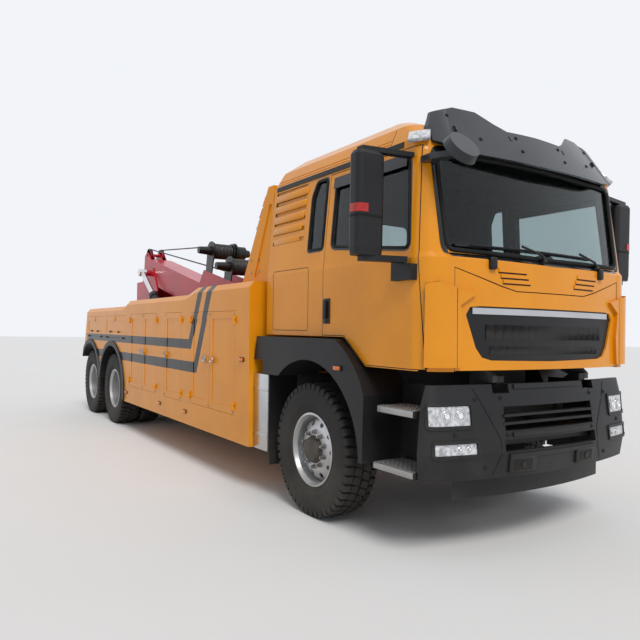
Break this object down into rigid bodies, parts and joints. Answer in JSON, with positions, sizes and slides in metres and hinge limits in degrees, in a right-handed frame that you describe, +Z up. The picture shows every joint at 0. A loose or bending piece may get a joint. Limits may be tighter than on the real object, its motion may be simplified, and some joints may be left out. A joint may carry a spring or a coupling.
{
  "type": "tow truck",
  "caption": "Heavy recovery truck with tilting cab, side lockers, telescopic lifting boom, twin winches and a folding underlift.",
  "frame": {"origin": "centre of the bounding box at the ground", "axes": "+X forward, +Y to the truck's left, +Z up"},
  "size_m": [9.8953, 3.04, 3.1198],
  "materials": {
    "chassis_black": "satin",
    "body_yellow": "gloss",
    "trim_black": "matte",
    "visor_grey": "satin",
    "lamp_lens": "clear",
    "tyre_rubber": "matte",
    "rim_silver": "satin",
    "window_glass": "clear",
    "boom_crimson": "gloss",
    "winch_black": "gloss",
    "rod_chrome": "polished",
    "seat_fabric": "woven",
    "dash_plastic": "matte"
  },
  "bodies": {
    "chassis": {"frame_rails": "chassis_black", "running_gear": "chassis_black", "locker_body_left": "body_yellow", "locker_body_right": "body_yellow", "body_deck": "body_yellow", "wheel_arches": "trim_black", "bumper": "trim_black", "lamps": "lamp_lens", "side_steps": "trim_black", "boom_mast": "chassis_black"},
    "cab": {"cab_shell": "body_yellow", "cab_roof": "body_yellow", "visor": "visor_grey", "cab_glass": "window_glass", "seats": "seat_fabric", "dashboard": "dash_plastic"},
    "front_flap": {"front_flap": "body_yellow", "grille": "trim_black"},
    "door_left": {"door_left": "body_yellow", "door_glass_left": "window_glass", "mirror_left": "trim_black"},
    "door_right": {"door_right": "body_yellow", "door_glass_right": "window_glass", "mirror_right": "trim_black"},
    "knuckle_left": {"knuckle_left": "chassis_black"},
    "knuckle_right": {"knuckle_right": "chassis_black"},
    "tie_rod": {"tie_rod": "chassis_black"},
    "boom": {"boom": "boom_crimson", "winches": "winch_black"},
    "boom_inner": {"boom_inner": "boom_crimson"},
    "lift_barrels": {"lift_barrels": "chassis_black"},
    "lift_rods": {"lift_rods": "rod_chrome"},
    "underlift_arm": {"underlift_arm": "boom_crimson"},
    "underlift_stinger": {"underlift_stinger": "boom_crimson"},
    "wheel_front_left": {"tyre_front_left": "tyre_rubber", "rim_front_left": "rim_silver"},
    "wheel_front_right": {"tyre_front_right": "tyre_rubber", "rim_front_right": "rim_silver"},
    "wheel_middle_left": {"tyre_middle_left": "tyre_rubber", "rim_middle_left": "rim_silver"},
    "wheel_middle_right": {"tyre_middle_right": "tyre_rubber", "rim_middle_right": "rim_silver"},
    "wheel_rear_left": {"tyre_rear_left": "tyre_rubber", "rim_rear_left": "rim_silver"},
    "wheel_rear_right": {"tyre_rear_right": "tyre_rubber", "rim_rear_right": "rim_silver"},
    "locker_a_left": {"locker_a_left": "body_yellow"},
    "locker_a_right": {"locker_a_right": "body_yellow"},
    "locker_b_left": {"locker_b_left": "body_yellow"},
    "locker_b_right": {"locker_b_right": "body_yellow"},
    "locker_c_left": {"locker_c_left": "body_yellow"},
    "locker_c_right": {"locker_c_right": "body_yellow"},
    "locker_d_left": {"locker_d_left": "body_yellow"},
    "locker_d_right": {"locker_d_right": "body_yellow"},
    "locker_e_left": {"locker_e_left": "body_yellow"},
    "locker_e_right": {"locker_e_right": "body_yellow"},
    "locker_f_left": {"locker_f_left": "body_yellow"},
    "locker_f_right": {"locker_f_right": "body_yellow"},
    "locker_g_left": {"locker_g_left": "body_yellow"},
    "locker_g_right": {"locker_g_right": "body_yellow"}
  },
  "joints": [
    {"name": "wheel_front_left_spin", "type": "hinge", "parent": "knuckle_left", "child": "wheel_front_left", "pos_m": [3.4, 1.005, 0.5425], "axis": [0, 1, 0], "continuous": true},
    {"name": "wheel_front_right_spin", "type": "hinge", "parent": "knuckle_right", "child": "wheel_front_right", "pos_m": [3.4, -1.005, 0.5425], "axis": [0, 1, 0], "continuous": true},
    {"name": "wheel_middle_left_spin", "type": "hinge", "parent": "chassis", "child": "wheel_middle_left", "pos_m": [-2.35, 0.9, 0.5425], "axis": [0, 1, 0], "continuous": true},
    {"name": "wheel_middle_right_spin", "type": "hinge", "parent": "chassis", "child": "wheel_middle_right", "pos_m": [-2.35, -0.9, 0.5425], "axis": [0, 1, 0], "continuous": true},
    {"name": "wheel_rear_left_spin", "type": "hinge", "parent": "chassis", "child": "wheel_rear_left", "pos_m": [-3.75, 0.9, 0.5425], "axis": [0, 1, 0], "continuous": true},
    {"name": "wheel_rear_right_spin", "type": "hinge", "parent": "chassis", "child": "wheel_rear_right", "pos_m": [-3.75, -0.9, 0.5425], "axis": [0, 1, 0], "continuous": true},
    {"name": "steer_left", "type": "hinge", "parent": "chassis", "child": "knuckle_left", "pos_m": [3.4, 0.838, 0.5425], "axis": [0, 0, 1], "range_deg": [-35, 35]},
    {"name": "steer_right", "type": "hinge", "parent": "chassis", "child": "knuckle_right", "pos_m": [3.4, -0.838, 0.5425], "axis": [0, 0, 1], "range_deg": [-35, 35]},
    {"name": "tie_rod_swing", "type": "hinge", "parent": "knuckle_left", "child": "tie_rod", "pos_m": [3.18, 0.838, 0.415], "axis": [0, 0, 1], "range_deg": [-35, 35]},
    {"name": "cab_tilt", "type": "hinge", "parent": "chassis", "child": "cab", "pos_m": [4.73, 0, 1.2], "axis": [0, 1, 0], "range_deg": [0, 50]},
    {"name": "door_left_swing", "type": "hinge", "parent": "cab", "child": "door_left", "pos_m": [4.662, 1.104, 1.9], "axis": [0, 0, -1], "range_deg": [0, 70]},
    {"name": "door_right_swing", "type": "hinge", "parent": "cab", "child": "door_right", "pos_m": [4.662, -1.104, 1.9], "axis": [0, 0, 1], "range_deg": [0, 70]},
    {"name": "front_flap_lift", "type": "hinge", "parent": "cab", "child": "front_flap", "pos_m": [4.85, 0, 1.975], "axis": [0, -1, 0], "range_deg": [0, 75]},
    {"name": "locker_a_left_open", "type": "hinge", "parent": "chassis", "child": "locker_a_left", "pos_m": [2.165, 1.263, 1.185], "axis": [0, 0, -1], "range_deg": [0, 100]},
    {"name": "locker_a_right_open", "type": "hinge", "parent": "chassis", "child": "locker_a_right", "pos_m": [2.165, -1.263, 1.185], "axis": [0, 0, 1], "range_deg": [0, 100]},
    {"name": "locker_b_left_open", "type": "hinge", "parent": "chassis", "child": "locker_b_left", "pos_m": [1.01, 1.263, 1.185], "axis": [0, 0, 1], "range_deg": [0, 100]},
    {"name": "locker_b_right_open", "type": "hinge", "parent": "chassis", "child": "locker_b_right", "pos_m": [1.01, -1.263, 1.185], "axis": [0, 0, -1], "range_deg": [0, 100]},
    {"name": "locker_c_left_open", "type": "hinge", "parent": "chassis", "child": "locker_c_left", "pos_m": [0.72, 1.263, 1.1825], "axis": [0, 0, -1], "range_deg": [0, 100]},
    {"name": "locker_c_right_open", "type": "hinge", "parent": "chassis", "child": "locker_c_right", "pos_m": [0.72, -1.263, 1.1825], "axis": [0, 0, 1], "range_deg": [0, 100]},
    {"name": "locker_d_left_open", "type": "hinge", "parent": "chassis", "child": "locker_d_left", "pos_m": [-0.18, 1.263, 1.1825], "axis": [0, 0, -1], "range_deg": [0, 100]},
    {"name": "locker_d_right_open", "type": "hinge", "parent": "chassis", "child": "locker_d_right", "pos_m": [-0.18, -1.263, 1.1825], "axis": [0, 0, 1], "range_deg": [0, 100]},
    {"name": "locker_e_left_open", "type": "hinge", "parent": "chassis", "child": "locker_e_left", "pos_m": [-1.36, 1.263, 1.1825], "axis": [0, 0, 1], "range_deg": [0, 100]},
    {"name": "locker_e_right_open", "type": "hinge", "parent": "chassis", "child": "locker_e_right", "pos_m": [-1.36, -1.263, 1.1825], "axis": [0, 0, -1], "range_deg": [0, 100]},
    {"name": "locker_f_left_open", "type": "hinge", "parent": "chassis", "child": "locker_f_left", "pos_m": [-2.195, 1.263, 1.345], "axis": [-1, 0, 0], "range_deg": [0, 90]},
    {"name": "locker_f_right_open", "type": "hinge", "parent": "chassis", "child": "locker_f_right", "pos_m": [-2.195, -1.263, 1.345], "axis": [1, 0, 0], "range_deg": [0, 90]},
    {"name": "locker_g_left_open", "type": "hinge", "parent": "chassis", "child": "locker_g_left", "pos_m": [-3.465, 1.263, 1.345], "axis": [-1, 0, 0], "range_deg": [0, 90]},
    {"name": "locker_g_right_open", "type": "hinge", "parent": "chassis", "child": "locker_g_right", "pos_m": [-3.465, -1.263, 1.345], "axis": [1, 0, 0], "range_deg": [0, 90]},
    {"name": "boom_lift", "type": "hinge", "parent": "chassis", "child": "boom", "pos_m": [0.5, 0, 1.56], "axis": [0, 1, 0], "range_deg": [0, 35]},
    {"name": "boom_extend", "type": "slide", "parent": "boom", "child": "boom_inner", "axis": [-0.9736, 0, 0.2283], "range_m": [0, 1.5]},
    {"name": "lift_barrel_swing", "type": "hinge", "parent": "chassis", "child": "lift_barrels", "pos_m": [-1.85, 0, 1.235], "axis": [0, 1, 0], "range_deg": [0, 47.21]},
    {"name": "lift_rod_slide", "type": "slide", "parent": "lift_barrels", "child": "lift_rods", "axis": [-0.8324, 0, 0.5542], "range_m": [0, 1.3086]},
    {"name": "underlift_fold", "type": "hinge", "parent": "boom", "child": "underlift_arm", "pos_m": [-4.675, 0, 0.52], "axis": [0, -1, 0], "range_deg": [0, 90]},
    {"name": "underlift_extend", "type": "slide", "parent": "underlift_arm", "child": "underlift_stinger", "axis": [0, 0, 1], "range_m": [0, 0.7]}
  ],
  "couplings": [
    {"joint": "steer_right", "follows": "steer_left", "ratio": 1},
    {"joint": "tie_rod_swing", "follows": "steer_left", "ratio": -1},
    {"joint": "lift_barrel_swing", "follows": "boom_lift", "ratio": 1.3346},
    {"joint": "lift_rod_slide", "follows": "boom_lift", "m_per_rad": 2.1259}
  ]
}
